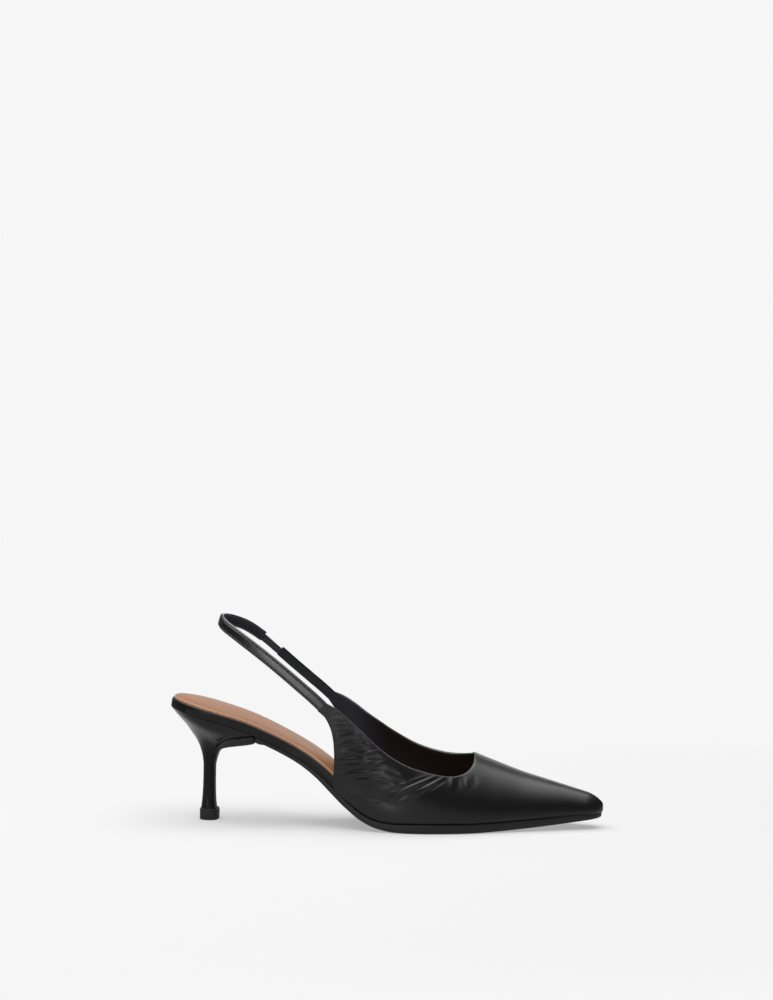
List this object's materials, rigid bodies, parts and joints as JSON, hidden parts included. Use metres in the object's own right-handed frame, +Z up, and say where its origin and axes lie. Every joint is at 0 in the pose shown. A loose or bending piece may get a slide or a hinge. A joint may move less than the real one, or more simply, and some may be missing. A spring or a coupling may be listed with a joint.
{
  "type": "slingback pump",
  "caption": "Pointed slingback pump on a flared stem heel, low cut at the sides, with a leather strap and a short elastic round the heel. Right shoe.",
  "frame": {"origin": "on the floor, at the middle of the top piece's underside", "axes": "+X to the toe, +Y to the medial side, +Z up"},
  "size_m": [0.2503, 0.0757, 0.1192],
  "materials": {
    "black_leather": "smooth, satin",
    "tan_leather": "smooth, satin",
    "sole_leather": "painted edge, satin",
    "heel_plastic": "lacquered, glossy",
    "top_rubber": "matte",
    "elastic": "ribbed, matte"
  },
  "bodies": {
    "root": {"upper": "black_leather", "back_strap": "black_leather", "strap_elastic": "elastic", "sock_lining": "tan_leather", "insole_board": "black_leather", "outsole": "sole_leather", "heel": "heel_plastic", "top_piece": "top_rubber"}
  },
  "joints": []
}
